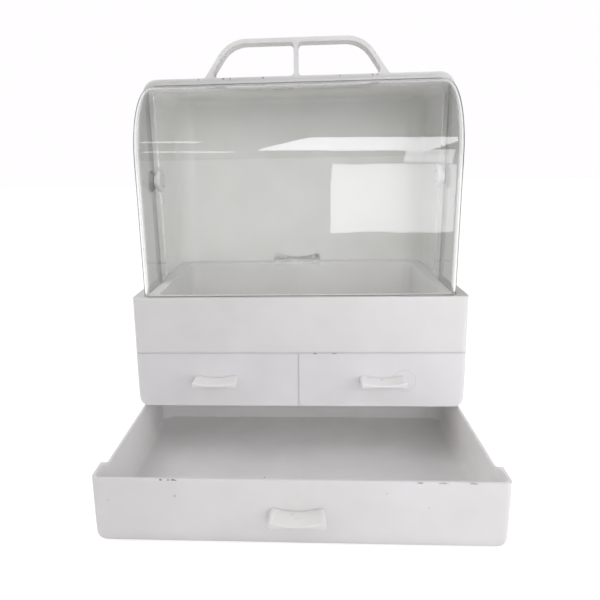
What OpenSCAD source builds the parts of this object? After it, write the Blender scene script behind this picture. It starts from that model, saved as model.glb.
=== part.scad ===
// Dustproof makeup organizer: a moulded cabinet with one wide and two small
// drawers, an open bin above them, and a hood with a carry handle whose clear
// domed cover swings up between the wings.
// X runs to the right, Y from front to back, Z up. The origin lies on the
// ground, in the middle of the space that it takes up with the big drawer open.

/* [Cabinet] */
// Width over the side walls
body_w = 285; // [250:1:330]
// Depth from the drawer fronts to the back wall
body_d = 195; // [180:1:230]
// Thickness of the cabinet, bin and hood walls
wall = 2.5; // [2:0.1:3]
// Thickness of the bottom, the shelf and the divider
plate = 2.2; // [1.8:0.1:2.8]
// Radius of the upright corners at the front
front_r = 5; // [3:0.5:8]
// Radius of the upright corners at the back
rear_r = 14; // [8:1:20]
// Radius along the lower side edges
sole_r = 7; // [4:0.5:9]

/* [Feet] */
// Height of the pads that show below the cabinet
foot_h = 2; // [1:0.1:4]
// Radius of a pad
foot_r = 8; // [5:0.5:11]
// Depth of the round recess that holds a pad
foot_sink = 0.6; // [0.4:0.1:1.2]
// Distance of the pads from the front, back and sides
foot_inset = 26; // [22:1:40]

/* [Drawers] */
// Height of the big drawer's front
big_front_h = 45.7; // [40:0.1:60]
// Height of the small drawers' fronts
small_front_h = 47.7; // [40:0.1:60]
// Open line between one front and the next
seam = 0.9; // [0.6:0.1:1.5]
// Thickness of a drawer's front
front_t = 2.5; // [2:0.1:3.5]
// Thickness of a drawer's floor and side walls
tray_t = 2; // [1.6:0.1:2.6]
// How far a front's ends run back along the sides
ear_len = 25; // [18:0.5:34]
// Thickness of those ends
ear_t = 2.2; // [1.8:0.1:2.8]
// How much narrower the big front is at its foot, each side
big_draft = 1.7; // [0:0.1:2.5]
// How much narrower the small fronts are at their foot
small_draft = 1; // [0:0.1:2]
// Radius of the big front's lower corners
big_foot_r = 7; // [3:0.5:10]
// Radius of the small fronts' lower outer corners
small_foot_r = 9; // [3:0.5:11]
// Depth of a side wall's top below the front's top
side_drop = 1.7; // [1:0.1:6]
// Inner radius of a tray's upright corners at the back
tray_r = 14; // [6:1:20]
// Sideways play of a tray in its bay
slide_gap = 0.8; // [0.5:0.1:1.2]
// Height of a tray's floor over the plate it runs on
run_gap = 0.4; // [0.3:0.1:0.8]
// Space between a closed tray's back and the cabinet's back wall
back_gap = 1.5; // [1:0.5:6]
// How far the big drawer stands open
big_open = 122; // [0:1:150]

/* [Top bin] */
// Height of the plain band above the small drawers
band_h = 49.1; // [40:0.2:70]
// Thickness of the ledge under the cover
ledge_t = 2.5; // [2:0.1:3.5]
// Width of the ledge at each side
ledge_side = 20; // [18:0.5:30]
// Width of the ledge in front of the bin
ledge_front = 13; // [11:0.5:20]
// Width of the ledge behind the bin
ledge_back = 25; // [14:0.5:40]
// Radius of the bin's upright corners
bin_r = 10; // [5:0.5:20]
// Thickness of the bin's walls and floor
bin_t = 2.2; // [1.6:0.1:3]

/* [Hood] */
// Height of the hood from the ledge to the roof
hood_h = 185.2; // [150:0.2:230]
// Width of the ledge outside the wings
hood_inset = 5.5; // [4:0.5:8]
// Distance of the hood's back from the cabinet's back
hood_back_inset = 8; // [3:0.5:14]
// Distance of the roof's front edge from the drawer fronts
hood_front = 56.5; // [50:0.5:70]
// Lean of the wings' front edges, in degrees
wing_lean = 3; // [0:0.5:5]
// Radius of the roof's side edges
roof_r = 13.5; // [8:0.5:18]
// Radius of the hood's upright back corners
hood_rear_r = 22; // [10:1:28]
// Radius of the roof's back edge
roof_back_r = 10; // [4:1:20]
// Radius of the round lobes on the wings
lobe_r = 11; // [8:0.5:14]
// How far the tabs under the hood reach through the ledge
tab_h = 8; // [5:0.5:12]
// Length of a tab
tab_len = 12; // [8:1:18]

/* [Handle] */
// Height of the handle over the roof
handle_h = 31.5; // [26:0.5:40]
// Half the handle's width at the roof
handle_base = 80.5; // [70:0.5:95]
// Half the handle's width at the top, without its rounding
handle_top = 58.7; // [45:0.5:65]
// Depth of the handle from front to back
handle_d = 18; // [12:0.5:24]
// Thickness of the handle's bar
handle_t = 3.8; // [3:0.1:6]
// Radius of the handle's upper corners
handle_r = 30; // [12:1:32]
// Width of the post in the middle
post_w = 4; // [3:0.5:8]
// Radius of the small fillets in the handle's openings
nook_r = 3.5; // [1.5:0.5:5]

/* [Cover] */
// Width of the clear cover
cover_w = 266.5; // [240:0.5:267]
// Wall thickness of the cover
cover_t = 2; // [1.5:0.1:2.5]
// Distance of the cover's lower front edge from the drawer fronts
cover_front = 3; // [1:0.5:6]
// Distance of the top's rear edge from the drawer fronts
cover_rear = 75.5; // [72:0.5:84]
// Lean of the cheeks' rear edges, in degrees
cheek_lean = 4; // [0:0.5:6]
// Radius of the dome
dome_r = 62; // [50:1:64]
// Distance of the dome's axis from the drawer fronts
dome_y = 60; // [58:0.5:62]
// Space between the top of the dome and the roof
dome_gap = 3.2; // [3:0.1:12]
// Radius of the cover's long edges
cover_edge_r = 6.5; // [4:0.5:12]
// Radius of the cheeks' lower rear corners
cheek_r = 5; // [3:0.5:10]
// Height of the cover's lower edge over the ledge
rest_gap = 0.3; // [0.2:0.1:0.8]

/* [Hinge] */
// Height of the hinge over the ledge
hinge_z = 96.7; // [85:0.5:110]
// Distance of the hinge behind the wings' front edges
hinge_back = 2; // [0:0.5:6]
// Radius of the pins' shafts
pin_r = 2.5; // [2:0.1:3.5]
// Radius of the pins' round heads
pin_head_r = 10.3; // [7:0.1:12]
// Thickness of those heads
pin_head_t = 3.8; // [2.5:0.1:6]
// Radius of the collars between head and cheek
pin_collar_r = 7.2; // [5.5:0.1:8]
// Length of the collars
pin_collar_t = 3; // [1:0.1:5]
// Radius of the button in the middle of a head
pin_button_r = 4.2; // [2:0.1:5]
// Width of the groove round the button
pin_groove = 1.6; // [1:0.1:2.5]
// Radial play of the cover on the pins
hinge_play = 0.08; // [0.03:0.01:0.1]
// Play beside the cheeks, along the pins
cheek_play = 0.4; // [0.3:0.1:0.6]
// Radius of the spacers moulded inside the wings
spacer_r = 6; // [4.5:0.5:8]

/* [Pulls] */
// Width of a pull
pull_w = 38; // [30:1:55]
// Height of a pull at its ends
pull_h = 6.6; // [5:0.2:10]
// How far a pull stands out
pull_d = 15.8; // [10:0.2:22]
// Depth of the dip in a pull's top at the front it sits on
pull_root_dip = 2.1; // [0.5:0.1:2.2]
// Depth of the dip in a pull's top at its lip
pull_lip_dip = 3.6; // [2.2:0.1:4]
// Rise of the arch under a pull
pull_arch = 1.5; // [0.5:0.1:1.8]
// Radius of a pull's ends
pull_r = 2.4; // [1:0.1:2.4]
// Radius of a pull's pegs
peg_r = 1.8; // [1.2:0.1:2]
// Distance of the pegs from a pull's middle
peg_x = 13; // [8:0.5:14]
// Middle of the small drawers' pulls, from the cabinet's middle
small_pull_x = 71.7; // [50:0.1:90]
// Distance of the pulls' middles below the tops of their fronts
pull_drop = 22.7; // [14:0.1:28]
// Height of the cover's pull over the ledge
cover_pull_z = 34; // [18:0.5:60]

/* [Hidden] */

$fn = 64;
// Overrun of a cut past the face it opens
over = 1;
// Squeeze of a peg or pin in the hole that grips it
grip = 0.03;
// Play of a tab in its slot
tab_play = 0.25;
// Degrees between points on a rounded outline
arc_step = 7.5;

white = [0.93, 0.93, 0.92];
clear = [0.82, 0.86, 0.84, 0.35];
pad_grey = [0.55, 0.55, 0.54];

half_w = body_w / 2;
inner_w = half_w - wall;
front_play = 0.5;

// Heights, from the ground up
big_z = foot_h;
small_z = big_z + big_front_h + seam;
band_z = small_z + small_front_h + seam;
ledge_z = band_z + band_h;
shelf_z = small_z - 0.2;
roof_z = ledge_z + hood_h;
pivot_z = ledge_z + hinge_z;
pivot_y = wing_y(pivot_z) + hinge_back;
dome_z = roof_z - wall - dome_gap - dome_r;
dome_top = dome_z + dome_r;
cover_z = ledge_z + rest_gap;

// Middle between the open drawer's pull and the cabinet's back
middle_y = (body_d - big_open - pull_d) / 2;

// Bays and trays
bay_back = body_d - wall;
tray_back = bay_back - back_gap;
tray_side = inner_w - slide_gap;
mid_gap = plate / 2 + slide_gap;

// Hood, cover and pins, from the middle outwards
hood_w = half_w - hood_inset;
hood_back = body_d - hood_back_inset;
cheek_out = cover_w / 2;
pin_head_x = cheek_out - cover_t - cheek_play;

// The cover's front face leans forward until it meets the dome
lean_reach = norm([dome_y - cover_front, dome_z - cover_z]);
lean = asin(dome_r / lean_reach) - atan((dome_y - cover_front) / (dome_z - cover_z));
panel_len = sqrt(lean_reach * lean_reach - dome_r * dome_r);

// Where the wings' front edges and the cheeks' rear edges lie at a height
function wing_y(z) = hood_front + (roof_z - z) * tan(wing_lean);
function cheek_y(z) = cover_rear + (dome_top - z) * tan(cheek_lean);

// An arc of points about c
function arc(c, r, a0, a1) =
    let (n = max(2, ceil(abs(a1 - a0) / arc_step)))
    [for (i = [0 : n]) c + r * [cos(a0 + (a1 - a0) * i / n), sin(a0 + (a1 - a0) * i / n)]];

// The rounded corner at b, on the way from a to c, turning left
function turn(a, b, c, r) =
    let (u = (a - b) / norm(a - b), v = (c - b) / norm(c - b),
         half = acos(u * v) / 2,
         m = b + (u + v) / norm(u + v) * r / sin(half),
         start = atan2(-u[0], u[1]) + 180,
         sweep = 180 - 2 * half)
    r > 0 ? arc(m, r, start, start + sweep) : [b];

// A closed outline that turns left, with a radius for each corner
function rounded(p, r) =
    let (n = len(p))
    [for (i = [0 : n - 1]) each turn(p[(i + n - 1) % n], p[i], p[(i + 1) % n], r[i])];

// A rectangle with round corners: radii from the lower left, turning left
module round_box(x0, y0, x1, y1, r) {
    difference() {
        translate([x0, y0]) square([x1 - x0, y1 - y0]);
        for (c = [[x0, y0, 0, 0, r[0]], [x1, y0, 1, 0, r[1]], [x1, y1, 1, 1, r[2]], [x0, y1, 0, 1, r[3]]])
            if (c[4] > 0)
                translate([c[0], c[1]]) mirror([c[2], 0]) mirror([0, c[3]])
                    difference() {
                        translate([-over, -over]) square(c[4] + over);
                        translate([c[4], c[4]]) circle(c[4]);
                    }
    }
}

// Extrudes a plan outline between two heights
module upright(z0, z1) {
    translate([0, 0, z0]) linear_extrude(z1 - z0) children();
}

// Extrudes a front view, X and Z, from y0 back to y1
module along_y(y0, y1) {
    translate([0, y1, 0]) rotate([90, 0, 0]) linear_extrude(y1 - y0) children();
}

// Extrudes a side view, Y and Z, from x0 to x1
module along_x(x0, x1) {
    translate([x0, 0, 0]) rotate([90, 0, 90]) linear_extrude(x1 - x0) children();
}

// Sets pieces drawn from the small drawers' fronts backwards about the origin
module placed() {
    translate([0, -middle_y, 0]) children();
}

// Both sides of something drawn on the right
module both_sides() {
    children();
    mirror([1, 0, 0]) children();
}

// Plan of the cabinet and the bin, drawn in by inset
module body_plan(inset) {
    f = max(0.5, front_r - inset);
    b = max(0.5, rear_r - inset);
    round_box(-half_w + inset, inset, half_w - inset, body_d - inset, [f, f, b, b]);
}

module foot_spots() {
    for (x = [-1, 1], y = [foot_inset, body_d - foot_inset])
        translate([x * (half_w - foot_inset), y, 0]) children();
}

// Lower box: side walls, back, bottom, shelf and the divider between the small drawers
module cabinet() {
    bay_r = max(1, rear_r - wall);
    sole_in = max(1, sole_r - wall);
    apron = half_w - ear_t - max(big_foot_r, small_foot_r) - big_draft;
    color(white) placed() difference() {
        intersection() {
            upright(foot_h, band_z) body_plan(0);
            along_y(0, body_d)
                round_box(-half_w, foot_h, half_w, band_z, [sole_r, sole_r, 0, 0]);
        }
        // bay of the big drawer
        intersection() {
            upright(foot_h + plate, shelf_z)
                round_box(-inner_w, -over, inner_w, bay_back, [0, 0, bay_r, bay_r]);
            along_y(-over, body_d)
                round_box(-inner_w, foot_h + plate, inner_w, shelf_z, [sole_in, sole_in, 0, 0]);
        }
        // bays of the small drawers
        upright(shelf_z + plate, band_z + over) both_sides()
            round_box(plate / 2, -over, inner_w, bay_back, [0, 0, bay_r, 0]);
        // room for the fronts, and for their ends along the sides
        translate([-half_w - over, -over, 0])
            cube([body_w + 2 * over, front_t + front_play + over, band_z + over]);
        both_sides() translate([apron, -over, 0])
            cube([half_w, ear_len + front_play + over, band_z + over]);
        // the divider ends below the bin's floor
        translate([-plate, -over, band_z - front_play])
            cube([2 * plate, bay_back, 2 * over]);
        foot_spots() cylinder(h = foot_h + foot_sink, r = foot_r + 0.2);
    }
}

// Tabs that centre the bin inside the cabinet's walls
module bin_keys() {
    key = 1.8;
    key_len = 20;
    gap = 0.3;
    both_sides() for (y = [ear_len + 25, body_d / 2 + 5, body_d - rear_r - 25]) {
        translate([inner_w - gap - key, y - key_len / 2, band_z - 2])
            cube([key, key_len, 8]);
        translate([inner_w - gap - key, y - key_len / 2, band_z])
            cube([key + gap + 0.1, key_len, 6]);
    }
}

// Upper moulding: the plain band, the ledge under the cover and the open bin
module top_bin() {
    bin_x = half_w - ledge_side;
    bin_back = body_d - ledge_back;
    color(white) placed() {
        difference() {
            upright(band_z, ledge_z) body_plan(0);
            // hollow between the skirt and the bin
            difference() {
                upright(band_z - over, ledge_z - ledge_t) body_plan(wall);
                upright(band_z, ledge_z)
                    round_box(-bin_x - bin_t, ledge_front - bin_t, bin_x + bin_t, bin_back + bin_t,
                        [bin_r + bin_t, bin_r + bin_t, bin_r + bin_t, bin_r + bin_t]);
            }
            // the bin
            upright(band_z + bin_t, ledge_z + over)
                round_box(-bin_x, ledge_front, bin_x, bin_back, [bin_r, bin_r, bin_r, bin_r]);
            hood_tabs(tab_play);
        }
        bin_keys();
    }
}

// Tabs under the hood; play widens them into the slots in the ledge
module hood_tabs(play) {
    z0 = ledge_z - tab_h - play;
    h = tab_h + play + over;
    both_sides() {
        for (y = [wing_y(ledge_z) + 18, hood_back - hood_rear_r - 25])
            translate([hood_w - wall - play, y - tab_len / 2 - play, z0])
                cube([wall + 2 * play, tab_len + 2 * play, h]);
        translate([hood_w / 2 - tab_len / 2 - play, hood_back - wall - play, z0])
            cube([tab_len + 2 * play, wall + 2 * play, h]);
    }
}

// The closed form of the hood, drawn in by inset; ahead lengthens it through its open front
module hood_form(inset, ahead, z0) {
    w = hood_w - inset;
    back = hood_back - inset;
    top = roof_z - inset;
    front = hood_front - ahead;
    intersection() {
        along_y(front, back) round_box(-w, z0, w, top, [0, 0, roof_r - inset, roof_r - inset]);
        upright(z0, top)
            round_box(-w, front, w, back, [0, 0, hood_rear_r - inset, hood_rear_r - inset]);
        along_x(-w, w) polygon(rounded([[wing_y(z0) - ahead, z0], [back, z0], [back, top],
            [wing_y(top) - ahead, top]], [0, 0, roof_back_r - inset, 0]));
    }
}

// Front view of the handle's arch, drawn in by s
slope = atan(handle_h / (handle_base - handle_top));
crown = [handle_top - handle_r * tan(slope / 2), handle_h - handle_r];
function arch_side(s) = arc(crown, handle_r - s, 90 - slope, 90);
function arch_foot(s) = handle_base - s / sin(slope);

module handle() {
    open_foot = arch_foot(handle_t);
    open_top = handle_h - handle_t;
    side = arch_side(handle_t);
    // the opening right of the post: lower corners, then round the arch to the post
    opening = concat(
        turn([post_w / 2, open_top], [post_w / 2, 0], [open_foot, 0], nook_r),
        turn([post_w / 2, 0], [open_foot, 0], side[0], nook_r),
        side,
        turn(side[len(side) - 1], [post_w / 2, open_top], [post_w / 2, 0], nook_r));
    // small fillet where a leg leaves the roof
    foot = [arch_foot(0), 0];
    foot_r = 4;
    fillet = turn(arch_side(0)[0], foot, foot + [10, 0], foot_r);
    n = len(fillet) - 1;
    leg = concat([[0, -wall / 2], [fillet[n][0], -wall / 2]],
        [for (i = [n : -1 : 0]) fillet[i]], arch_side(0), [[0, handle_h]]);
    translate([0, 0, roof_z]) along_y(hood_front, hood_front + handle_d) difference() {
        union() {
            polygon(leg);
            mirror([1, 0]) polygon(leg);
        }
        polygon(opening);
        mirror([1, 0]) polygon(opening);
    }
}

// Upper housing: back wall, two wings and roof with the carry handle, in one moulding
module hood() {
    color(white) placed() difference() {
        union() {
            difference() {
                hood_form(0, 0, ledge_z);
                hood_form(wall, over, ledge_z - over);
            }
            handle();
            hood_tabs(0);
            both_sides() translate([hood_w - wall, pivot_y, pivot_z]) rotate([0, 90, 0]) {
                cylinder(h = wall, r = lobe_r);
                // spacer that keeps the cheek off the wing
                spacer = hood_w - wall - cheek_out - cheek_play;
                translate([0, 0, -spacer]) cylinder(h = spacer + wall / 2, r = spacer_r);
            }
        }
        both_sides() translate([cheek_out, pivot_y, pivot_z]) rotate([0, 90, 0])
            cylinder(h = hood_w - cheek_out + over, r = pin_r - grip);
    }
}

// The solid form of the cover, drawn in by inset; past lengthens it through its open sides
module cover_form(inset, past) {
    w = cover_w / 2 - inset;
    r = dome_r - inset;
    e = cover_edge_r - inset;
    foot = cover_z - past;
    top = dome_z + r;
    intersection() {
        union() {
            translate([0, dome_y, dome_z]) {
                rotate([0, 90, 0]) rotate_extrude() round_box(0, -w, r, w, [0, e, e, 0]);
                // front panel, leaning with the face
                rotate([lean, 0, 0]) upright(-panel_len - 12, 0)
                    round_box(-w, -r, w, 4, [e, e, 0, 0]);
            }
            along_y(dome_y, cheek_y(foot) + past + over)
                round_box(-w, foot - 5, w, top, [0, 0, e, e]);
        }
        along_x(-cover_w, cover_w) polygon([[-body_d, foot], [cheek_y(foot) + past, foot],
            [cheek_y(top) + past, top + over], [-body_d, top + over]]);
    }
}

// Where the cover's pull sits on the leaning face
module on_cover_face() {
    along_face = (dome_z - ledge_z - cover_pull_z) / cos(lean) - dome_r * tan(lean);
    translate([0, dome_y, dome_z]) rotate([lean, 0, 0]) translate([0, -dome_r, -along_face])
        children();
}

// Side view of what the cheeks' rear ends lose so that they clear the ledge as they swing
module cheek_relief() {
    pivot = [pivot_y, pivot_z];
    swing_r = hinge_z - rest_gap;
    down = [sin(cheek_lean), -cos(cheek_lean)];
    rear = [cos(cheek_lean), sin(cheek_lean)];
    reach = (cheek_y(pivot_z) - pivot_y) * cos(cheek_lean) - cheek_r;
    corner = pivot + reach * rear + sqrt(pow(swing_r - cheek_r, 2) - reach * reach) * down;
    outward = (corner - pivot) / norm(corner - pivot);
    difference() {
        translate([pivot_y, cover_z - over]) square([cover_rear, swing_r / 2]);
        translate(pivot) circle(swing_r, $fn = 192);
    }
    difference() {
        polygon([corner, corner + 2 * cheek_r * outward, corner + 3 * cheek_r * (outward + rear),
            corner + 2 * cheek_r * rear]);
        translate(corner) circle(cheek_r);
    }
}

// Clear visor: domed front and top with two cheeks, open below and behind
module clear_cover() {
    color(clear) placed() difference() {
        cover_form(0, 0);
        cover_form(cover_t, 4);
        along_x(-cover_w, cover_w) cheek_relief();
        translate([-cover_w, pivot_y, pivot_z]) rotate([0, 90, 0])
            cylinder(h = 2 * cover_w, r = pin_r + hinge_play);
        on_cover_face() peg_holes(cover_t);
    }
}

// Headed pin, pressed through the cheek into the wing
module hinge_pin() {
    shaft_end = hood_w - 0.5;
    groove_d = 1.2;
    rim = 1.2;
    color(white) placed() translate([0, pivot_y, pivot_z]) rotate([0, 90, 0]) {
        translate([0, 0, pin_head_x - pin_collar_t - pin_head_t]) rotate_extrude() difference() {
            union() {
                round_box(0, 0, pin_head_r, pin_head_t, [0, rim, rim / 2, 0]);
                square([pin_collar_r, pin_head_t + pin_collar_t]);
            }
            translate([pin_button_r, -over]) square([pin_groove, groove_d + over]);
        }
        translate([0, 0, pin_head_x - 0.1]) cylinder(h = shaft_end - pin_head_x + 0.1, r = pin_r);
    }
}

module hinge_pin_right() {
    hinge_pin();
}

module hinge_pin_left() {
    mirror([1, 0, 0]) hinge_pin();
}

// Bar with a dipped top and an arched underside, on two pegs; y = 0 is its back
module pull(peg_len) {
    half = pull_w / 2;
    dip_r = (half * half + pull_lip_dip * pull_lip_dip) / (2 * pull_lip_dip);
    arch_r = (half * half + pull_arch * pull_arch) / (2 * pull_arch);
    tilt = atan((pull_lip_dip - pull_root_dip) / pull_d);
    difference() {
        along_y(-pull_d, 0)
            round_box(-half, -pull_h / 2, half, pull_h / 2, [pull_r, pull_r, pull_r, pull_r]);
        // the dip deepens towards the lip
        translate([0, -pull_d, pull_h / 2 - pull_lip_dip + dip_r]) rotate([90 + tilt, 0, 0])
            translate([0, 0, -2 * pull_d]) cylinder(h = 3 * pull_d, r = dip_r, $fn = 128);
        translate([0, over, -pull_h / 2 + pull_arch - arch_r]) rotate([90, 0, 0])
            cylinder(h = pull_d + 2 * over, r = arch_r, $fn = 192);
    }
    for (x = [-peg_x, peg_x]) translate([x, 0, 0]) rotate([-90, 0, 0])
        translate([0, 0, -0.5]) cylinder(h = peg_len + 0.5, r = peg_r);
}

module peg_holes(depth) {
    for (x = [-peg_x, peg_x]) translate([x, -over, 0]) rotate([-90, 0, 0])
        cylinder(h = depth + 2 * over, r = peg_r - grip);
}

module cover_pull() {
    color(clear) placed() on_cover_face() pull(cover_t);
}

// A drawer with its front from x0 to x1 and its tray from t0 to t1.
// ends lists on which sides the front runs back along the cabinet.
module drawer(x0, x1, t0, t1, z0, h, floor_z, draft, foot, ends) {
    top = z0 + h;
    tray_top = top - side_drop;
    l = ends[0];
    r = ends[1];
    floor_top = floor_z + tray_t;
    in0 = l ? x0 + ear_t : t0 + tray_t;
    in1 = r ? x1 - ear_t : t1 - tray_t;
    ramp = 6;
    lug_r = 3;
    difference() {
        union() {
            // front and its ends
            intersection() {
                upright(z0, top) round_box(x0, 0, x1, ear_len, [l ? front_r : 0, r ? front_r : 0, 0, 0]);
                along_y(0, ear_len) polygon(rounded(
                    [[x0 + (l ? draft : 0), z0], [x1 - (r ? draft : 0), z0], [x1, top], [x0, top]],
                    [l ? foot : 0, r ? foot : 0, 0, 0]));
                along_x(x0, x1) round_box(0, z0, ear_len, top, [0, 0, lug_r, 0]);
            }
            // tray
            intersection() {
                upright(floor_z, tray_top) round_box(t0, front_t, t1, tray_back,
                    [0, 0, tray_r + tray_t, tray_r + tray_t]);
                along_y(front_t, tray_back) round_box(t0, floor_z, t1, tray_top, [sole_r, sole_r, 0, 0]);
            }
        }
        // beside the tray where the front has no end
        if (!l) translate([x0 - over, front_t, z0 - over]) cube([t0 - x0 + over, tray_back, h + 2 * over]);
        if (!r) translate([t1, front_t, z0 - over]) cube([x1 - t1 + over, tray_back, h + 2 * over]);
        // inside of the front, narrowing into the tray
        upright(floor_top, top + over) polygon([[in0, front_t + 2.5], [in0 + 2.5, front_t],
            [in1 - 2.5, front_t], [in1, front_t + 2.5], [in1, ear_len - tray_t - ramp],
            [t1 - tray_t, ear_len - tray_t], [t1 - tray_t, ear_len + over],
            [t0 + tray_t, ear_len + over], [t0 + tray_t, ear_len - tray_t],
            [in0, ear_len - tray_t - ramp]]);
        // inside of the tray
        intersection() {
            upright(floor_top, top + over) round_box(t0 + tray_t, ear_len - tray_t, t1 - tray_t,
                tray_back - tray_t, [0, 0, tray_r, tray_r]);
            along_y(0, tray_back) round_box(t0 + tray_t, floor_top, t1 - tray_t, top + over,
                [sole_r - tray_t, sole_r - tray_t, 0, 0]);
        }
        // underside between the ends, over the plate the drawer runs on
        translate([l ? x0 + ear_t + draft + foot : x0 - over, front_t, z0 - over])
            cube([x1 - x0 - (l ? ear_t + draft + foot : -over) - (r ? ear_t + draft + foot : -over),
                ear_len, floor_z - z0 + over]);
    }
}

module big_drawer() {
    color(white) placed() translate([0, -big_open, 0]) difference() {
        drawer(-half_w, half_w, -tray_side, tray_side, big_z, big_front_h,
            foot_h + plate + run_gap, big_draft, big_foot_r, [true, true]);
        translate([0, 0, big_z + big_front_h - pull_drop]) peg_holes(front_t);
    }
}

module big_pull() {
    color(white) placed() translate([0, -big_open, big_z + big_front_h - pull_drop]) pull(front_t);
}

module small_drawer_right() {
    color(white) placed() difference() {
        drawer(seam / 2, half_w, mid_gap, tray_side, small_z, small_front_h,
            shelf_z + plate + run_gap, small_draft, small_foot_r, [false, true]);
        translate([small_pull_x, 0, small_z + small_front_h - pull_drop]) peg_holes(front_t);
    }
}

module small_drawer_left() {
    mirror([1, 0, 0]) small_drawer_right();
}

module small_pull_right() {
    color(white) placed() translate([small_pull_x, 0, small_z + small_front_h - pull_drop]) pull(front_t);
}

module small_pull_left() {
    mirror([1, 0, 0]) small_pull_right();
}

// Four soft pads in their recesses
module foot_pads() {
    color(pad_grey) placed() foot_spots() cylinder(h = foot_h + foot_sink, r = foot_r);
}

cabinet();
top_bin();
hood();
clear_cover();
cover_pull();
hinge_pin_left();
hinge_pin_right();
small_drawer_left();
small_drawer_right();
small_pull_left();
small_pull_right();
big_drawer();
big_pull();
foot_pads();
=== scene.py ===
import math

import bmesh
import bpy
from mathutils import Matrix, Vector


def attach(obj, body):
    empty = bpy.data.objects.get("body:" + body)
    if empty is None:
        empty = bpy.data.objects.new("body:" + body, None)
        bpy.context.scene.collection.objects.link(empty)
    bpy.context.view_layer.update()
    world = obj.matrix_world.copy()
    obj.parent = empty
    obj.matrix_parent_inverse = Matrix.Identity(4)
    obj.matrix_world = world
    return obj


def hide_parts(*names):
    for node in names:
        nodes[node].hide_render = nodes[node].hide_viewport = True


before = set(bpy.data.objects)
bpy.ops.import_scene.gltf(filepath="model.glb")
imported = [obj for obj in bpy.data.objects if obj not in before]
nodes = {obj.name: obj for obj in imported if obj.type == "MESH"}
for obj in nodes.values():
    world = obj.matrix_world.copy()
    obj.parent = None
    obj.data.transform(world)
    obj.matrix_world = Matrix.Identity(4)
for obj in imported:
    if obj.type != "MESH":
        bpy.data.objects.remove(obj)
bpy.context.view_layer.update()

# Cabinet: the lower box with the drawer bays, injection moulded in white ABS. The tool
# was spark eroded, so the plastic has a faint even texture and a satin gloss. It is
# slightly clouded where the melt flowed, with a dark speck here and there.


def srgb(code):
    """A linear colour from an sRGB hex value."""
    parts = [int(code[i:i + 2], 16) / 255 for i in (1, 3, 5)]
    linear = [c / 12.92 if c <= 0.04045 else ((c + 0.055) / 1.055) ** 2.4 for c in parts]
    return (*linear, 1.0)


def add(tree, kind, settings=None, links=None):
    """A node with its settings, and with its inputs linked to other nodes' outputs."""
    made = tree.nodes.new(kind if "Node" in kind else "ShaderNode" + kind)
    for key, value in (settings or {}).items():
        if isinstance(key, str) and hasattr(made, key):
            setattr(made, key, value)
        else:
            made.inputs[key].default_value = value
    for key, output in (links or {}).items():
        tree.links.new(output, made.inputs[key])
    return made


def bare_material(name):
    """A new material with an empty node tree."""
    mat = bpy.data.materials.new(name)
    mat.use_nodes = True
    mat.node_tree.nodes.clear()
    return mat


def moulded_abs(name, light, cloud, rough, rim=0.0006):
    """Moulded white ABS, slightly translucent. Its edges look rounded by rim metres."""
    mat = bare_material(name)
    tree = mat.node_tree
    where = add(tree, "TexCoord").outputs["Object"]
    # flow clouding, 22 clouds in a metre, about 45 mm each
    flow = add(tree, "TexNoise", {"Scale": 22.0, "Detail": 3.0, "Roughness": 0.55},
               {"Vector": where})
    tone = add(tree, "MapRange", {"From Min": 0.33, "From Max": 0.69},
               {"Value": flow.outputs["Fac"]})
    shade = add(tree, "Mix", {"data_type": "RGBA", 6: srgb(light), 7: srgb(cloud)},
                {0: tone.outputs["Result"]})
    # dark specks 0.3 to 0.5 mm across, in one of 70 cells of 11 mm
    cell = add(tree, "TexVoronoi", {"Scale": 1000.0 / 11.0, "Randomness": 1.0}, {"Vector": where})
    chance = add(tree, "SeparateColor", {}, {0: cell.outputs["Color"]})
    few = add(tree, "Math", {"operation": "GREATER_THAN", 1: 0.985}, {0: chance.outputs[0]})
    dot = add(tree, "MapRange", {"From Min": 0.022, "From Max": 0.04, "To Min": 1.0,
              "To Max": 0.0}, {"Value": cell.outputs["Distance"]})
    speck = add(tree, "Math", {"operation": "MULTIPLY"},
                {0: few.outputs[0], 1: dot.outputs["Result"]})
    speck = add(tree, "Math", {"operation": "MULTIPLY", 1: 0.55}, {0: speck.outputs[0]})
    colour = add(tree, "Mix", {"data_type": "RGBA", 7: srgb("#6E6A62")},
                 {0: speck.outputs[0], 6: shade.outputs[2]})
    # the gloss varies where hands and cloths have rubbed, in patches of about 12 mm
    rub = add(tree, "TexNoise", {"Scale": 80.0, "Detail": 4.0, "Roughness": 0.6},
              {"Vector": where})
    gloss = add(tree, "MapRange", {"From Min": 0.3, "From Max": 0.7, "To Min": rough - 0.04,
                "To Max": rough + 0.06}, {"Value": rub.outputs["Fac"]})
    # spark texture, 0.2 mm in life, drawn at 0.9 mm so that it shows
    grain = add(tree, "TexNoise", {"Scale": 1100.0, "Detail": 2.0, "Roughness": 0.6},
                {"Vector": where})
    edge = add(tree, "Bevel", {"samples": 6, "Radius": rim})
    fine = add(tree, "Bump", {"Strength": 0.10, "Distance": 0.0003},
               {"Height": grain.outputs["Fac"], "Normal": edge.outputs[0]})
    # long shallow waves of the cooled walls, about 60 mm from crest to crest
    wave = add(tree, "TexNoise", {"Scale": 16.0, "Detail": 1.0}, {"Vector": where})
    warp = add(tree, "Bump", {"Strength": 0.18, "Distance": 0.004},
               {"Height": wave.outputs["Fac"], "Normal": fine.outputs[0]})
    shader = add(tree, "BsdfPrincipled", {"IOR": 1.53, "Subsurface Weight": 0.45,
                 "Subsurface Radius": (1.0, 0.97, 0.92), "Subsurface Scale": 0.004},
                 {"Base Color": colour.outputs[2], "Roughness": gloss.outputs["Result"],
                  "Normal": warp.outputs[0]})
    add(tree, "OutputMaterial", {}, {"Surface": shader.outputs[0]})
    return mat


def dress(name, mat):
    """Puts one material on a carried-over CAD node."""
    data = nodes[name].data
    data.materials.clear()
    data.materials.append(mat)


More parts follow.
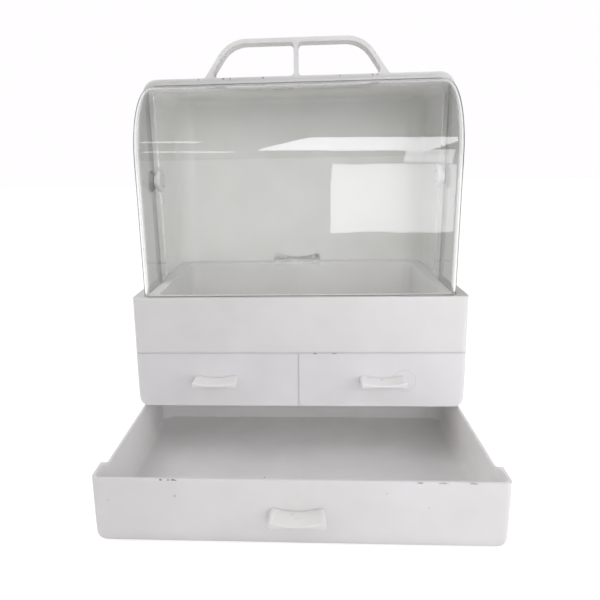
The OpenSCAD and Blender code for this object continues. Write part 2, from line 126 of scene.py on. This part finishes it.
dress("cabinet", moulded_abs("moulded_abs_cabinet", "#ECEBE8", "#E6E5E1", rough=0.36))

# Upper bin: the plain band, the ledge under the cover and the open bin are one moulding
# in the same white ABS. Its tool was polished a little more, for a softer sheen.

dress("top_bin", moulded_abs("moulded_abs_bin", "#EEEDEB", "#E8E7E4", rough=0.34))

# Hood: back wall, wings, roof and carry handle, moulded in one piece from the same ABS
# with a duller finish. Tabs under it snap into the ledge. The roof's front edge is chipped.


def lay_over(mat, mask, code):
    """Mixes a colour over the material's own, as far as the mask says."""
    tree = mat.node_tree
    base = tree.nodes["Principled BSDF"].inputs["Base Color"]
    mixed = add(tree, "Mix", {"data_type": "RGBA", 7: srgb(code)},
                {0: mask, 6: base.links[0].from_socket})
    tree.links.new(mixed.outputs[2], base)


def scuff(mat, at, half, code, strength=0.85):
    """A worn patch with a torn outline: its middle and its half sizes, in millimetres."""
    tree = mat.node_tree
    where = add(tree, "TexCoord").outputs["Object"]
    near = add(tree, "Mapping", {"vector_type": "TEXTURE", "Location": [c / 1000 for c in at],
               "Scale": [c / 1000 for c in half]}, {"Vector": where})
    far = add(tree, "VectorMath", {"operation": "LENGTH"}, {0: near.outputs[0]})
    # the outline's teeth are about 1 mm long
    torn = add(tree, "TexNoise", {"Scale": 900.0, "Detail": 3.0, "Roughness": 0.7},
               {"Vector": where})
    reach = add(tree, "Math", {"operation": "MULTIPLY", 1: 1.7}, {0: torn.outputs["Fac"]})
    left = add(tree, "Math", {"operation": "SUBTRACT"},
               {0: reach.outputs[0], 1: far.outputs["Value"]})
    mask = add(tree, "MapRange", {"From Min": 0.0, "From Max": 0.25, "To Min": 0.0,
               "To Max": strength}, {"Value": left.outputs[0]})
    lay_over(mat, mask.outputs[0], code)


roof_front, roof_under = 0.0279, 0.329
roof_corner = 0.011  # the inner radius along the roof's side edges
roof_half = 0.1233  # from the middle to where that radius starts

hood_abs = moulded_abs("moulded_abs_hood", "#EEEEEB", "#E7E7E4", rough=0.4)
# chips: their place along the roof's front edge, their half length and their colour
for x, long, code in ((-64, 1.6, "#6F6C66"), (-58, 0.9, "#8A877F"), (-29, 1.2, "#77746D"),
                      (-86, 0.8, "#8A877F"), (66, 1.1, "#7A776F"), (70, 0.8, "#8A877F"),
                      (38, 0.7, "#96938C")):
    scuff(hood_abs, (x, roof_front * 1000, 330.6), (long, 1.2, 0.8), code)
dress("hood", hood_abs)

# A lip under the roof's front edge, moulded with it, closes most of the gap over the dome.
# It follows the corner radii on both sides and runs out along them.
lip_low, lip_thick = 0.0026, 0.0022
lip_sink = 0.0002  # into the roof
lip_steps, lip_turn = 20, 3.5  # degrees for each step round a corner
upper_line, lower_line = [], []
for step in range(-lip_steps, lip_steps + 1):
    turn = math.radians(lip_turn * step)
    middle = math.copysign(roof_half, step) if step else 0.0
    hang = lip_low * (1 - (abs(step) / lip_steps) ** 3)
    for line, radius in ((upper_line, roof_corner + lip_sink), (lower_line, roof_corner - hang)):
        line.append((middle + radius * math.sin(turn),
                     roof_under - roof_corner + radius * math.cos(turn)))
shape = bmesh.new()
face = shape.faces.new([shape.verts.new((x, roof_front, z))
                        for x, z in upper_line + lower_line[::-1]])
pushed = bmesh.ops.extrude_face_region(shape, geom=[face])["geom"]
bmesh.ops.translate(shape, verts=[g for g in pushed if isinstance(g, bmesh.types.BMVert)],
                    vec=(0, lip_thick, 0))
bmesh.ops.triangulate(shape, faces=[f for f in shape.faces if len(f.verts) > 4])
bmesh.ops.recalc_face_normals(shape, faces=shape.faces)
lip_mesh = bpy.data.meshes.new("roof_lip")
shape.to_mesh(lip_mesh)
shape.free()
lip_mesh.materials.append(hood_abs)
roof_lip = bpy.data.objects.new("roof_lip", lip_mesh)
bpy.context.scene.collection.objects.link(roof_lip)
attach(roof_lip, "chest")

# Hinge pins: two headed pins that hold the cover, moulded in natural polypropylene. It is
# translucent and waxy to the eye. They are pressed through the cheeks into the wings.

pin_pp = bare_material("natural_polypropylene")
tree = pin_pp.node_tree
where = add(tree, "TexCoord").outputs["Object"]
# milky clouds of about 4 mm
haze = add(tree, "TexNoise", {"Scale": 260.0, "Detail": 3.0}, {"Vector": where})
tint = add(tree, "Mix", {"data_type": "RGBA", 6: srgb("#E9E9E8"), 7: srgb("#DCDDDD")},
           {0: haze.outputs["Fac"]})
edge = add(tree, "Bevel", {"samples": 6, "Radius": 0.0004})
shader = add(tree, "BsdfPrincipled", {"IOR": 1.49, "Roughness": 0.3, "Subsurface Weight": 0.25,
             "Subsurface Radius": (1.0, 1.0, 1.0), "Subsurface Scale": 0.002},
             {"Base Color": tint.outputs[2], "Normal": edge.outputs[0]})
add(tree, "OutputMaterial", {}, {"Surface": shader.outputs[0]})
for name in ("hinge_pin_left", "hinge_pin_right"):
    dress(name, pin_pp)

# Clear cover: a domed visor of clear polystyrene, 2 mm thick, injection moulded in a
# polished tool and hung on the two pins. It is glassy with a faint grey green tint, and
# painted shade darkens its cheeks and its foot.


def clear_polystyrene(name, tint, rough, solid=1.0):
    """Clear moulded styrene. Light reaches what is behind it, as through the real sheet."""
    mat = bare_material(name)
    tree = mat.node_tree
    where = add(tree, "TexCoord").outputs["Object"]
    spot = add(tree, "SeparateXYZ", {}, {0: where})
    # the cooled wall waves slightly, about 30 mm from crest to crest
    wave = add(tree, "TexNoise", {"Scale": 30.0, "Detail": 1.0, "Roughness": 0.4},
               {"Vector": where})
    warp = add(tree, "Bump", {"Strength": 0.04, "Distance": 0.002},
               {"Height": wave.outputs["Fac"]})
    # faint scratches from wiping, long in X and Y and about 1 mm apart in Z
    lines = add(tree, "Mapping", {"Scale": (6.0, 6.0, 160.0)}, {"Vector": where})
    wipe = add(tree, "TexNoise", {"Scale": 5.0, "Detail": 5.0, "Roughness": 0.7},
               {"Vector": lines.outputs[0]})
    haze = add(tree, "MapRange", {"From Min": 0.5, "From Max": 0.8, "To Min": rough,
               "To Max": rough + 0.06}, {"Value": wipe.outputs["Fac"]})
    # painted shade: the cheeks, seen along the wall, are darkened in front of the wings' leaning
    # edges
    facing = add(tree, "LayerWeight", {"Blend": 0.5})
    along = add(tree, "MapRange", {"From Min": 0.55, "From Max": 0.72, "To Min": 0.0,
                "To Max": 1.0}, {"Value": facing.outputs["Facing"]})
    behind = add(tree, "VectorMath", {"operation": "DOT_PRODUCT", 1: (0.0, 1.0, 0.0524)},
                 {0: where})
    ahead = add(tree, "MapRange", {"From Min": 0.0445, "From Max": 0.0455, "To Min": 1.0,
                "To Max": 0.0}, {"Value": behind.outputs["Value"]})
    aside = add(tree, "Math", {"operation": "ABSOLUTE"}, {0: spot.outputs["X"]})
    aside = add(tree, "MapRange", {"From Min": 0.1285, "From Max": 0.1315, "To Min": 0.0,
                "To Max": 1.0}, {"Value": aside.outputs[0]})
    painted_cheek_shade = add(tree, "Math", {"operation": "MULTIPLY"},
                {0: ahead.outputs[0], 1: aside.outputs[0]})
    painted_cheek_shade = add(tree, "Math", {"operation": "MULTIPLY"},
                {0: painted_cheek_shade.outputs[0], 1: along.outputs[0]})
    sheet = add(tree, "Mix", {"data_type": "RGBA", 6: (1, 1, 1, 1), 7: srgb("#3C3F39")},
                {0: painted_cheek_shade.outputs[0]})
    # painted shade: the lowest 0.7 mm, at the moulding's foot, is darkened as its cut edge looks
    foot = add(tree, "MapRange", {"From Min": 0.1467, "From Max": 0.1474, "To Min": 0.85,
               "To Max": 0.0}, {"Value": spot.outputs["Z"]})
    sheet = add(tree, "Mix", {"data_type": "RGBA", 7: srgb("#3C3E43")},
                {0: foot.outputs[0], 6: sheet.outputs[2]})
    glass = add(tree, "BsdfPrincipled", {"IOR": 1.57, "Transmission Weight": 1.0,
                "Alpha": solid}, {"Base Color": sheet.outputs[2],
                "Roughness": haze.outputs["Result"], "Normal": warp.outputs[0]})
    through = add(tree, "BsdfTransparent", {"Color": srgb("#FBFCFA")})
    ray = add(tree, "LightPath")
    mixed = add(tree, "MixShader", {}, {0: ray.outputs["Is Shadow Ray"],
                1: glass.outputs[0], 2: through.outputs[0]})
    # what the wall takes from light that runs along it
    body = add(tree, "VolumeAbsorption", {"Color": srgb(tint), "Density": 26.0})
    add(tree, "OutputMaterial", {}, {"Surface": mixed.outputs[0], "Volume": body.outputs[0]})
    return mat


dress("clear_cover", clear_polystyrene("clear_polystyrene_cover", "#E0E6DE", rough=0.015))

# Pull of the cover: a clear waisted bar, moulded by itself and pegged into two holes of
# the cover. The three white pulls have its form: rounded ends, a dipped top, an arched
# underside. The tree below makes it from its sizes.

bar_sizes = (("Width", 0.038), ("Height", 0.0066), ("Depth", 0.0158), ("Root Dip", 0.0021),
             ("Lip Dip", 0.0036), ("Arch", 0.0015), ("End Radius", 0.0024),
             ("Peg Radius", 0.0018), ("Peg Spacing", 0.026), ("Peg Length", 0.0025),
             ("Lean", 0.0))
bar = bpy.data.node_groups.new("waisted_bar", "GeometryNodeTree")
for name, size in bar_sizes:
    socket = bar.interface.new_socket(name, in_out="INPUT", socket_type="NodeSocketFloat")
    socket.default_value = size
bar.interface.new_socket("Place", in_out="INPUT", socket_type="NodeSocketVector")
bar.interface.new_socket("Material", in_out="INPUT", socket_type="NodeSocketMaterial")
bar.interface.new_socket("Bar", in_out="OUTPUT", socket_type="NodeSocketGeometry")
given = bar.nodes.new("NodeGroupInput").outputs
profile = add(bar, "GeometryNodeCurvePrimitiveQuadrilateral", {},
              {"Width": given["Width"], "Height": given["Height"]})
profile = add(bar, "GeometryNodeFilletCurve",
              {"mode": "POLY", "Count": 6, "Limit Radius": True},
              {"Curve": profile.outputs[0], "Radius": given["End Radius"]})
profile = add(bar, "GeometryNodeResampleCurve", {"mode": "COUNT", "Count": 150},
              {"Curve": profile.outputs[0]})
# the front view, swept up along Z and then laid forward, so that Z becomes the way out
reach = add(bar, "CombineXYZ", {}, {"Z": given["Depth"]})
path = add(bar, "GeometryNodeCurvePrimitiveLine", {}, {"End": reach.outputs[0]})
path = add(bar, "GeometryNodeResampleCurve", {"mode": "COUNT", "Count": 12},
           {"Curve": path.outputs[0]})
block = add(bar, "GeometryNodeCurveToMesh", {"Fill Caps": True},
            {"Curve": path.outputs[0], "Profile Curve": profile.outputs[0]})
block = add(bar, "GeometryNodeTransform", {"Rotation": (math.pi / 2, 0, 0)},
            {"Geometry": block.outputs[0]})
# the place of a point: across the bar, from its root out, and up from its middle
spot = add(bar, "SeparateXYZ", {}, {0: add(bar, "GeometryNodeInputPosition").outputs[0]})
across = add(bar, "Math", {"operation": "DIVIDE"}, {0: spot.outputs["X"], 1: given["Width"]})
across = add(bar, "Math", {"operation": "MULTIPLY"},
             {0: across.outputs[0], 1: across.outputs[0]})
outward = add(bar, "Math", {"operation": "MULTIPLY", 1: -1.0}, {0: spot.outputs["Y"]})
level = add(bar, "Math", {"operation": "DIVIDE"}, {0: spot.outputs["Z"], 1: given["Height"]})
upper = add(bar, "Math", {"operation": "MAXIMUM", 1: 0.0}, {0: level.outputs[0]})
lower = add(bar, "Math", {"operation": "MINIMUM", 1: 0.0}, {0: level.outputs[0]})
# the top dips more the further out it is, and the dip fades towards the bar's ends
dip = add(bar, "MapRange", {}, {"Value": outward.outputs[0], "From Max": given["Depth"],
          "To Min": given["Root Dip"], "To Max": given["Lip Dip"]})
fall = add(bar, "Math", {"operation": "MULTIPLY"}, {0: across.outputs[0], 1: given["Lip Dip"]})
fall = add(bar, "Math", {"operation": "MULTIPLY_ADD", 1: -4.0},
           {0: fall.outputs[0], 2: dip.outputs[0]})
fall = add(bar, "Math", {"operation": "MAXIMUM", 1: 0.0}, {0: fall.outputs[0]})
fall = add(bar, "Math", {"operation": "MULTIPLY"}, {0: upper.outputs[0], 1: fall.outputs[0]})
# the underside is a flat arch
rise = add(bar, "Math", {"operation": "MULTIPLY_ADD", 1: -4.0, 2: 1.0}, {0: across.outputs[0]})
rise = add(bar, "Math", {"operation": "MULTIPLY"}, {0: rise.outputs[0], 1: given["Arch"]})
rise = add(bar, "Math", {"operation": "MULTIPLY"}, {0: lower.outputs[0], 1: rise.outputs[0]})
both = add(bar, "Math", {"operation": "ADD"}, {0: fall.outputs[0], 1: rise.outputs[0]})
both = add(bar, "Math", {"operation": "MULTIPLY", 1: -2.0}, {0: both.outputs[0]})
shift = add(bar, "CombineXYZ", {}, {"Z": both.outputs[0]})
block = add(bar, "GeometryNodeSetPosition", {},
            {"Geometry": block.outputs[0], "Offset": shift.outputs[0]})
# two pegs behind the bar, through the wall that carries it, sunk 0.5 mm into the bar
peg_long = add(bar, "Math", {"operation": "ADD", 1: 0.0005}, {0: given["Peg Length"]})
peg = add(bar, "GeometryNodeMeshCylinder", {"Vertices": 40},
          {"Radius": given["Peg Radius"], "Depth": peg_long.outputs[0]})
peg = add(bar, "GeometryNodeTransform", {"Rotation": (math.pi / 2, 0, 0)},
          {"Geometry": peg.outputs[0]})
to_left = add(bar, "Math", {"operation": "MULTIPLY", 1: -0.5}, {0: given["Peg Spacing"]})
to_right = add(bar, "Math", {"operation": "MULTIPLY", 1: 0.5}, {0: given["Peg Spacing"]})
middle = add(bar, "Math", {"operation": "MULTIPLY_ADD", 1: 0.5, 2: -0.0005},
             {0: peg_long.outputs[0]})
first = add(bar, "CombineXYZ", {}, {"X": to_left.outputs[0], "Y": middle.outputs[0]})
last = add(bar, "CombineXYZ", {}, {"X": to_right.outputs[0], "Y": middle.outputs[0]})
spots = add(bar, "GeometryNodeMeshLine", {"mode": "END_POINTS", "Count": 2},
            {"Start Location": first.outputs[0], "Offset": last.outputs[0]})
pegs = add(bar, "GeometryNodeInstanceOnPoints", {},
           {"Points": spots.outputs[0], "Instance": peg.outputs[0]})
whole = add(bar, "GeometryNodeJoinGeometry")
for part in (pegs, block):
    bar.links.new(part.outputs[0], whole.inputs[0])
turned = add(bar, "CombineXYZ", {}, {"X": given["Lean"]})
whole = add(bar, "GeometryNodeTransform", {}, {"Geometry": whole.outputs[0],
            "Translation": given["Place"], "Rotation": turned.outputs[0]})
whole = add(bar, "GeometryNodeRealizeInstances", {}, {0: whole.outputs[0]})
whole = add(bar, "GeometryNodeSetMaterial", {},
            {0: whole.outputs[0], "Material": given["Material"]})
bar.links.new(whole.outputs[0], bar.nodes.new("NodeGroupOutput").inputs[0])


def grown(name, tree, inputs, rim):
    """A plain mesh piece from a node tree, its edges rounded by rim metres."""
    piece = bpy.data.objects.new(name, bpy.data.meshes.new(name))
    bpy.context.scene.collection.objects.link(piece)
    live = piece.modifiers.new("grown", "NODES")
    live.node_group = tree
    for item in tree.interface.items_tree:
        if item.in_out == "INPUT" and item.name in inputs:
            live[item.identifier] = inputs[item.name]
    soft = piece.modifiers.new("rim", "BEVEL")
    soft.width, soft.segments = rim, 3
    soft.limit_method, soft.angle_limit = "ANGLE", math.radians(50)
    bpy.context.view_layer.update()
    ready = piece.evaluated_get(bpy.context.evaluated_depsgraph_get())
    piece_mesh = bpy.data.meshes.new_from_object(ready)
    piece.modifiers.clear()
    piece.data = piece_mesh
    piece_mesh.name = name
    piece_mesh.shade_smooth()
    piece_mesh.set_sharp_from_angle(angle=math.radians(38))
    return piece


def pull(name, node, body, place, mat, lean=0.0):
    """One waisted bar in the place of its CAD node."""
    piece = grown(name, bar, {"Place": place, "Lean": lean, "Material": mat}, 0.0007)
    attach(piece, body)
    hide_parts(node)


# The cover's front face leans, and runs on from its dome: the pull sits on it, square to it.
dome_y, dome_z, dome_r = 0.0314, 0.2638, 0.062  # the dome's axis and radius
foot_ahead, foot_down = 0.057, 0.1172  # from that axis to the face's foot
pull_down = 0.0835  # below that axis
lean = math.asin(dome_r / math.hypot(foot_ahead, foot_down)) - math.atan(foot_ahead / foot_down)
down = pull_down / math.cos(lean) - dome_r * math.tan(lean)  # the same, measured along the face
on_cover = (0, dome_y - dome_r * math.cos(lean) + down * math.sin(lean),
            dome_z - dome_r * math.sin(lean) - down * math.cos(lean))
clear_pull = clear_polystyrene("clear_polystyrene_pull", "#EDF0EE", rough=0.03, solid=0.32)
pull("cover_pull_bar", "cover_pull", "cover", on_cover, clear_pull, lean)

# Small drawers and their pulls: two white ABS drawers side by side, whose fronts wrap
# round the outer corners, each with a waisted bar pegged to its front. They run on the
# shelf over the big drawer's bay.

half_seam = 0.00045  # half of the open line between two CAD fronts
front_lift = 0.0007  # by this much a front rises to the line above it
ends_deep = 0.0255  # a front's ends run this far back along the sides
same = 2e-5


def fitted(name, node, body, mat, top_z, seam_to=half_seam):
    """A drawer with its front drawn up to the hairline seam that the eye sees: its top edge
    rises to the line above it, and its edge by the middle ends seam_to beside the middle."""
    ready = bpy.data.meshes.new(name)
    shape = bmesh.new()
    shape.from_mesh(nodes[node].data)
    bmesh.ops.remove_doubles(shape, verts=shape.verts, dist=1e-6)
    front_end = min(v.co.y for v in shape.verts) + ends_deep
    for v in shape.verts:
        if v.co.y < front_end:
            if abs(v.co.z - top_z) < same:
                v.co.z += front_lift
            if abs(abs(v.co.x) - half_seam) < same:
                v.co.x *= seam_to / half_seam
    shape.to_mesh(ready)
    shape.free()
    if "custom_normal" in ready.attributes:
        ready.attributes.remove(ready.attributes["custom_normal"])
    ready.shade_smooth()
    ready.set_sharp_from_angle(angle=math.radians(32))
    ready.materials.clear()
    ready.materials.append(mat)
    piece = bpy.data.objects.new(name, ready)
    bpy.context.scene.collection.objects.link(piece)
    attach(piece, body)
    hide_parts(node)


drawer_abs = moulded_abs("moulded_abs_small_drawers", "#EFEEEE", "#E9E8E7", rough=0.35,
                         rim=0.0001)
# chips at the top of the right front
scuff(drawer_abs, (14.3, -28.6, 96.6), (2.2, 1.0, 0.7), "#8E8A84")
scuff(drawer_abs, (31, -28.6, 96.6), (2.6, 1.0, 0.5), "#A5A29C")
# a faint ring where the melt closed round the right end of the right pull's peg boss
ring_at, ring_r = (0.0907, -0.0286, 0.0718), 0.0097
tree = drawer_abs.node_tree
where = add(tree, "TexCoord").outputs["Object"]
off = add(tree, "VectorMath", {"operation": "SUBTRACT", 1: ring_at}, {0: where})
far = add(tree, "VectorMath", {"operation": "LENGTH"}, {0: off.outputs[0]})
band = add(tree, "Math", {"operation": "SUBTRACT", 1: ring_r}, {0: far.outputs["Value"]})
band = add(tree, "Math", {"operation": "ABSOLUTE"}, {0: band.outputs[0]})
ring = add(tree, "MapRange", {"From Min": 0.0001, "From Max": 0.0005, "To Min": 0.16,
           "To Max": 0.0}, {"Value": band.outputs[0]})
lay_over(drawer_abs, ring.outputs[0], "#8F8B86")

pull_abs = moulded_abs("moulded_abs_pulls", "#F0F0EE", "#EAEAE7", rough=0.3, rim=0.0001)
for side, way in (("left", -1), ("right", 1)):
    body = "small_drawer_" + side + "_body"
    fitted("small_drawer_" + side + "_moulding", "small_drawer_" + side, body,
           drawer_abs, 0.0963, seam_to=0.0001)
    pull("small_pull_" + side + "_bar", "small_pull_" + side, body,
         (way * 0.0717, -0.0286, 0.0736), pull_abs)

# Big drawer and its pull: the full-width drawer, moulded in the same ABS. It is worn grey
# along the top of its front, where it was pushed shut against the row above.

big_abs = moulded_abs("moulded_abs_big_drawer", "#EFEEED", "#E8E7E5", rough=0.36)
# scuffs along the front's top edge, then bruises on its face, then two spots on the floor
for x, long, code in ((-93, 2.0, "#5E5A54"), (-88, 1.2, "#8B8780"), (-84, 3.0, "#7B776F"),
                      (82, 3.2, "#A39F98"), (97, 5.0, "#B4B1AB"), (116, 4.0, "#A9A59E")):
    scuff(big_abs, (x, -150.4, 48.0), (long, 1.1, 0.7), code)
for x, z, r in ((-131, 32, 0.8), (-84, 36, 1.5), (88, 30, 0.7), (-20, 12, 0.6), (60, 40, 0.6)):
    scuff(big_abs, (x, -150.6, z), (r, 1.0, r), "#B7B2AC", 0.5)
scuff(big_abs, (-28, -75, 7.0), (0.9, 0.9, 3.0), "#8A8A55", 0.9)
scuff(big_abs, (-41, -88, 7.0), (0.6, 0.6, 3.0), "#A29D96", 0.8)
fitted("big_drawer_moulding", "big_drawer", "big_drawer_body", big_abs, 0.0477)
pull("big_pull_bar", "big_pull", "big_drawer_body", (0, -0.1506, 0.025),
     pull_abs)

# Foot pads: four round pads, die cut from grey EVA foam rubber, matte, and stuck in
# recesses under the cabinet.

pad = bare_material("eva_foam_rubber")
tree = pad.node_tree
where = add(tree, "TexCoord").outputs["Object"]
# pores of 0.7 mm
cells = add(tree, "TexVoronoi", {"Scale": 1400.0}, {"Vector": where})
tint = add(tree, "Mix", {"data_type": "RGBA", 6: srgb("#77767A"), 7: srgb("#8F8E90")},
           {0: cells.outputs["Distance"]})
pores = add(tree, "Bump", {"Strength": 0.4, "Distance": 0.0003},
            {"Height": cells.outputs["Distance"]})
shader = add(tree, "BsdfPrincipled", {"Roughness": 0.85, "IOR": 1.5},
             {"Base Color": tint.outputs[2], "Normal": pores.outputs[0]})
add(tree, "OutputMaterial", {}, {"Surface": shader.outputs[0]})

pads = bpy.data.node_groups.new("foot_pad_set", "GeometryNodeTree")
for name, size in (("Across", 0.233), ("Deep", 0.143), ("Radius", 0.008),
                   ("Thickness", 0.0026), ("Middle", 0.0689)):
    socket = pads.interface.new_socket(name, in_out="INPUT", socket_type="NodeSocketFloat")
    socket.default_value = size
pads.interface.new_socket("Material", in_out="INPUT", socket_type="NodeSocketMaterial")
pads.interface.new_socket("Pads", in_out="OUTPUT", socket_type="NodeSocketGeometry")
given = pads.nodes.new("NodeGroupInput").outputs
corners = add(pads, "GeometryNodeMeshGrid", {"Vertices X": 2, "Vertices Y": 2},
              {"Size X": given["Across"], "Size Y": given["Deep"]})
one = add(pads, "GeometryNodeMeshCylinder", {"Vertices": 48},
          {"Radius": given["Radius"], "Depth": given["Thickness"]})
four = add(pads, "GeometryNodeInstanceOnPoints", {},
           {"Points": corners.outputs[0], "Instance": one.outputs[0]})
lift = add(pads, "Math", {"operation": "MULTIPLY", 1: 0.5}, {0: given["Thickness"]})
lift = add(pads, "CombineXYZ", {}, {"Y": given["Middle"], "Z": lift.outputs[0]})
four = add(pads, "GeometryNodeTransform", {},
           {"Geometry": four.outputs[0], "Translation": lift.outputs[0]})
four = add(pads, "GeometryNodeRealizeInstances", {}, {0: four.outputs[0]})
four = add(pads, "GeometryNodeSetMaterial", {},
           {0: four.outputs[0], "Material": given["Material"]})
pads.links.new(four.outputs[0], pads.nodes.new("NodeGroupOutput").inputs[0])
feet = grown("foot_pad_discs", pads, {"Material": pad}, 0.0004)
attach(feet, "chest")
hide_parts("foot_pads")

# Floor, light and camera: a white paper floor in a white room. Two soft lamps light the
# right and the left, and five bright panes in front are what the clear cover mirrors.
# The camera stands where the photographer stood.

scene = bpy.context.scene
floor_half = 6
floor_mesh = bpy.data.meshes.new("floor")
floor_mesh.from_pydata([(x * floor_half, y * floor_half, 0)
                        for x, y in ((-1, -1), (1, -1), (1, 1), (-1, 1))], [], [(0, 1, 2, 3)])
floor = bpy.data.objects.new("floor", floor_mesh)
scene.collection.objects.link(floor)


def seen_white(tree, *mirrored):
    """1 where the camera looks, or looks by way of the cover, and 0 for the object's light."""
    ray = add(tree, "LightPath")
    by_way = ray.outputs[mirrored[0]]
    for kind in mirrored[1:]:
        by_way = add(tree, "Math", {"operation": "ADD"},
                     {0: by_way, 1: ray.outputs[kind]}).outputs[0]
    direct = add(tree, "Math", {"operation": "LESS_THAN", 1: 0.5},
                 {0: ray.outputs["Diffuse Depth"]})
    by_way = add(tree, "Math", {"operation": "MULTIPLY"}, {0: by_way, 1: direct.outputs[0]})
    return add(tree, "Math", {"operation": "ADD", "use_clamp": True},
               {0: ray.outputs["Is Camera Ray"], 1: by_way.outputs[0]}).outputs[0]


paper = bare_material("white_paper_floor")
tree = paper.node_tree
matte = add(tree, "BsdfDiffuse", {"Color": srgb("#CFCFCE")})
white = seen_white(tree, "Is Glossy Ray", "Is Transmission Ray")
lift = add(tree, "Math", {"operation": "MULTIPLY", 1: 0.77}, {0: white})
glow = add(tree, "Emission", {"Color": (1, 1, 1, 1)}, {"Strength": lift.outputs[0]})
both = add(tree, "AddShader", {}, {0: matte.outputs[0], 1: glow.outputs[0]})
add(tree, "OutputMaterial", {}, {"Surface": both.outputs[0]})
floor_mesh.materials.append(paper)

world = bpy.data.worlds.new("white_room")
scene.world = world
world.use_nodes = True
tree = world.node_tree
tree.nodes.clear()
way = add(tree, "SeparateXYZ", {}, {0: add(tree, "TexCoord").outputs["Generated"]})
# the room is brighter above, and more so on the left
above = add(tree, "MapRange", {"From Min": 0.0, "From Max": 1.0, "To Min": 0.22,
            "To Max": 0.43}, {"Value": way.outputs["Z"]})
from_right = add(tree, "MapRange", {"From Min": 0.0, "From Max": 1.0, "To Min": 0.0,
                 "To Max": 0.05}, {"Value": way.outputs["X"]})
from_left = add(tree, "MapRange", {"From Min": -1.0, "From Max": 0.0, "To Min": 0.6,
                "To Max": 0.0}, {"Value": way.outputs["X"]})
sides = add(tree, "Math", {"operation": "ADD"}, {0: from_right.outputs[0], 1: from_left.outputs[0]})
light = add(tree, "Math", {"operation": "ADD"}, {0: above.outputs[0], 1: sides.outputs[0]})
level = add(tree, "Mix", {"data_type": "FLOAT", 3: 1.0},
            {0: seen_white(tree, "Is Transmission Ray"), 2: light.outputs[0]})
room = add(tree, "Background", {"Color": (1.0, 0.985, 1.0, 1)}, {"Strength": level.outputs[0]})
add(tree, "OutputWorld", {}, {"Surface": room.outputs[0]})


def lamp(name, low_left, low_right, high_left, glow, colour, mirrored=True):
    """A soft rectangular lamp by three of its corners, in metres. White paper lit by it alone,
    close to it, is as bright as glow says."""
    a, b, c = (Vector(p) for p in (low_left, low_right, high_left))
    data = bpy.data.lights.new(name, "AREA")
    data.shape = "RECTANGLE"
    data.size, data.size_y = (b - a).length, (c - a).length
    data.energy = glow * math.pi * data.size * data.size_y
    data.color = colour
    made = bpy.data.objects.new(name, data)
    across = (b - a).normalized()
    away = across.cross(c - a).normalized()
    high = away.cross(across)
    turn = Matrix((across, high, away)).transposed().to_4x4()
    made.matrix_world = Matrix.Translation((b + c) / 2) @ turn
    made.visible_glossy = mirrored
    made.visible_transmission = mirrored
    scene.collection.objects.link(made)


day = (0.965, 0.955, 1.0)
warm = (1.0, 0.93, 0.82)
lamp("near_right", (0.36, -0.42, 0.05), (0.56, -0.12, 0.05), (0.36, -0.42, 0.45), 2.15, day,
     mirrored=False)
lamp("high_left", (-0.75, 0.25, 0.55), (-0.55, -0.25, 0.55), (-0.45, 0.35, 0.95), 2.1, day,
     mirrored=False)
lamp("window_upper", (-0.09, -2.2, 0.57), (0.66, -2.2, 0.35), (-0.09, -2.2, 1.38), 4.3, day)
lamp("window_side", (0.33, -1.5, 0.115), (0.49, -1.5, 0.112), (0.33, -1.5, 0.36), 3.1, day)
lamp("window_lower", (0.06, -0.75, 0.048), (0.33, -0.75, 0.045), (0.06, -0.75, 0.186), 3.0, day)
lamp("tube_upper", (-0.79, -2.2, 1.24), (-0.48, -2.2, 1.14), (-0.79, -2.2, 1.34), 3.0, warm)
lamp("tube_lower", (-0.73, -2.2, 0.60), (-0.31, -2.2, 0.48), (-0.73, -2.2, 0.67), 3.0, warm)

# the photograph's frame, focal length and optical middle, in its own pixels
frame_px, focal_px, middle_px = 600.0, 581.945, (269.917, 282.453)
camera_data = bpy.data.cameras.new("camera")
camera = bpy.data.objects.new("camera", camera_data)
scene.collection.objects.link(camera)
scene.camera = camera
camera_data.sensor_width = 36.0
camera_data.lens = 36.0 * focal_px / frame_px
camera_data.shift_x = (frame_px / 2 - middle_px[0]) / frame_px
camera_data.shift_y = (middle_px[1] - frame_px / 2) / frame_px
right = Vector((0.9981112760537896, 0.05794669172206186, -0.020397586444094003))
above = Vector((0.008023377425816948, 0.2062279106655978, 0.9784710901591243))
ahead = Vector((-0.060905714255387, 0.9767866859150828, -0.2053734748940832))
turn = Matrix((right, above, -ahead)).transposed().to_4x4()
camera.matrix_world = Matrix.Translation((0.0065932, -0.5060996, 0.2597353)) @ turn

scene.view_settings.view_transform = "Standard"
